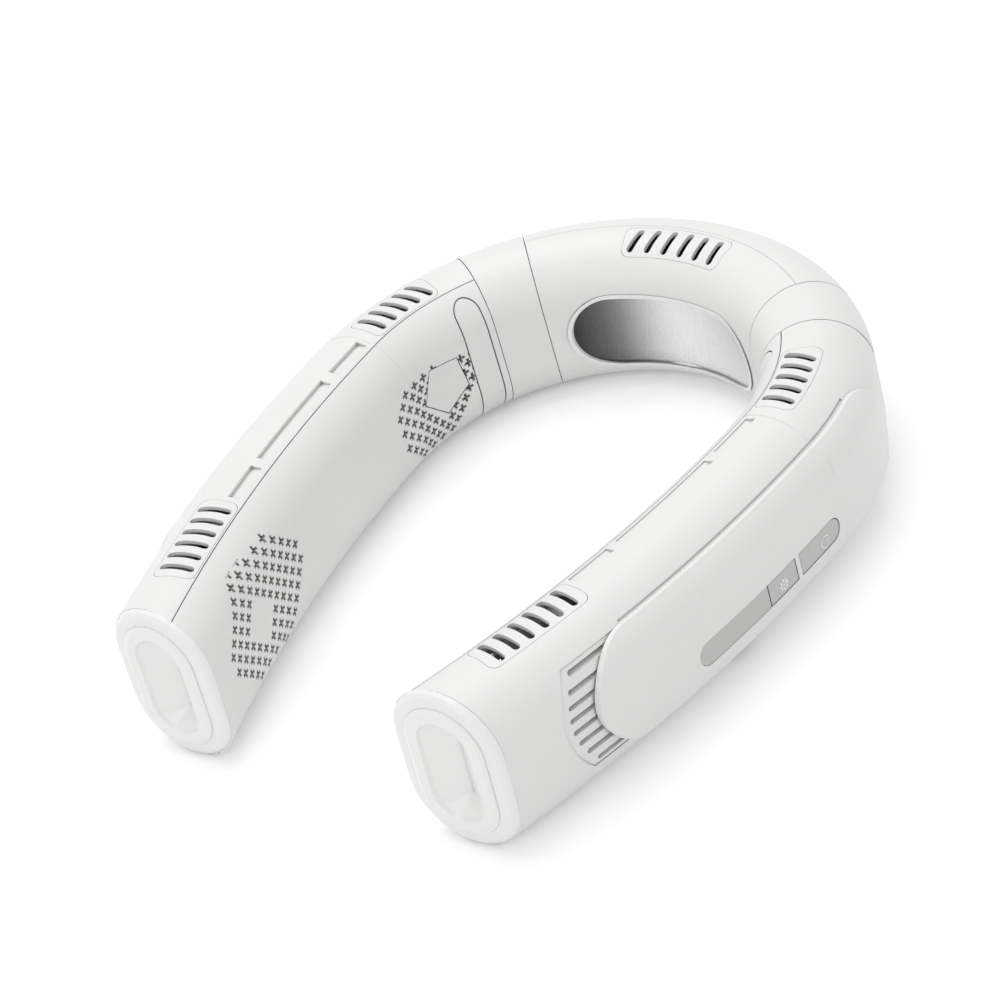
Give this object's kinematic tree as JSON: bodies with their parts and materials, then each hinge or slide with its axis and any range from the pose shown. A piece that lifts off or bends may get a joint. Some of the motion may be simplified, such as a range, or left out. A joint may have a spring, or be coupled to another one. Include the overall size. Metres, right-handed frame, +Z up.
{
  "type": "neck fan",
  "caption": "C-shaped electric neck fan: two hinged arms with blowers, cross-perforated neck panels, louvres, side covers with keys, open end caps and a cooling plate at the nape.",
  "frame": {"origin": "middle of the footprint, on the surface that the fan rests on", "axes": "+Z up as worn, +Y toward the nape, -Y toward the open ends, +X toward the arm that carries the keys (called right in the node names, as in the picture)"},
  "size_m": [0.1846, 0.2235, 0.0498],
  "materials": {
    "shell_white": "fine matt",
    "trim_white": "satin to gloss",
    "light_grey": "matt",
    "key_grey": "satin",
    "cold_plate": "anodised, smooth",
    "heat_sink": "extruded",
    "ceramic": "fired ceramic",
    "steel": "plain",
    "winding": "lacquered copper",
    "fan_black": "moulded",
    "cell": "shrink sleeve on a lithium cell",
    "board": "solder mask"
  },
  "bodies": {
    "housing": {"rear_outer_shell": "shell_white", "rear_inner_shell": "shell_white", "rear_louvre": "shell_white", "rear_fan_frame": "fan_black", "rear_fan_motor": "winding", "plate_rim": "trim_white", "cooling_plate": "cold_plate", "thermoelectric_module": "ceramic", "heat_sink": "heat_sink", "heat_sink_screws": "steel", "left_collar": "shell_white", "right_collar": "shell_white", "left_hinge_pin": "steel", "right_hinge_pin": "steel"},
    "rear_fan": {"rear_fan_impeller": "fan_black", "rear_fan_shaft": "steel"},
    "left_arm": {"left_outer_shell": "shell_white", "left_inner_panel": "shell_white", "left_cover_plate": "trim_white", "left_front_louvre": "shell_white", "left_rear_louvre": "shell_white", "left_intake_grille": "shell_white", "left_hinge_cover": "shell_white", "left_inset_panel": "shell_white", "left_end_cap": "trim_white", "left_battery": "cell", "left_blower_housing": "light_grey", "left_blower_lid": "light_grey", "left_blower_motor": "winding", "left_blower_screws": "steel"},
    "left_fan": {"left_impeller": "fan_black", "left_motor_shaft": "steel"},
    "right_arm": {"right_outer_shell": "shell_white", "right_inner_panel": "shell_white", "right_cover_plate": "trim_white", "right_front_louvre": "shell_white", "right_rear_louvre": "shell_white", "right_intake_grille": "shell_white", "right_hinge_cover": "shell_white", "right_inset_panel": "shell_white", "right_end_cap": "trim_white", "right_battery": "cell", "right_blower_housing": "light_grey", "right_blower_lid": "light_grey", "right_blower_motor": "winding", "right_blower_screws": "steel", "display_window": "key_grey", "control_board": "board", "usb_socket": "steel"},
    "right_fan": {"right_impeller": "fan_black", "right_motor_shaft": "steel"},
    "fan_key": {"fan_button": "key_grey"},
    "power_key": {"power_button": "key_grey"}
  },
  "joints": [
    {"name": "left_arm_swing", "type": "hinge", "parent": "housing", "child": "left_arm", "pos_m": [-0.07138, 0.06817, 0.0249], "axis": [0, 0, -1], "range_deg": [0, 10]},
    {"name": "right_arm_swing", "type": "hinge", "parent": "housing", "child": "right_arm", "pos_m": [0.07138, 0.06817, 0.0249], "axis": [0, 0, 1], "range_deg": [0, 10]},
    {"name": "left_fan_spin", "type": "hinge", "parent": "left_arm", "child": "left_fan", "pos_m": [-0.06167, -0.06595, 0.0249], "axis": [-0.9729, -0.2312, 0], "continuous": true},
    {"name": "right_fan_spin", "type": "hinge", "parent": "right_arm", "child": "right_fan", "pos_m": [0.06167, -0.06595, 0.0249], "axis": [0.9729, -0.2312, 0], "continuous": true},
    {"name": "rear_fan_spin", "type": "hinge", "parent": "housing", "child": "rear_fan", "pos_m": [0, 0.09515, 0.0249], "axis": [0, 1, 0], "continuous": true},
    {"name": "fan_key_press", "type": "slide", "parent": "right_arm", "child": "fan_key", "axis": [-0.9943, 0.1062, 0], "range_m": [0, 0.0004], "stiffness_N_per_m": 2500, "springref_m": -0.0002},
    {"name": "power_key_press", "type": "slide", "parent": "right_arm", "child": "power_key", "axis": [-0.9976, 0.0688, 0], "range_m": [0, 0.0004], "stiffness_N_per_m": 2500, "springref_m": -0.0002}
  ]
}
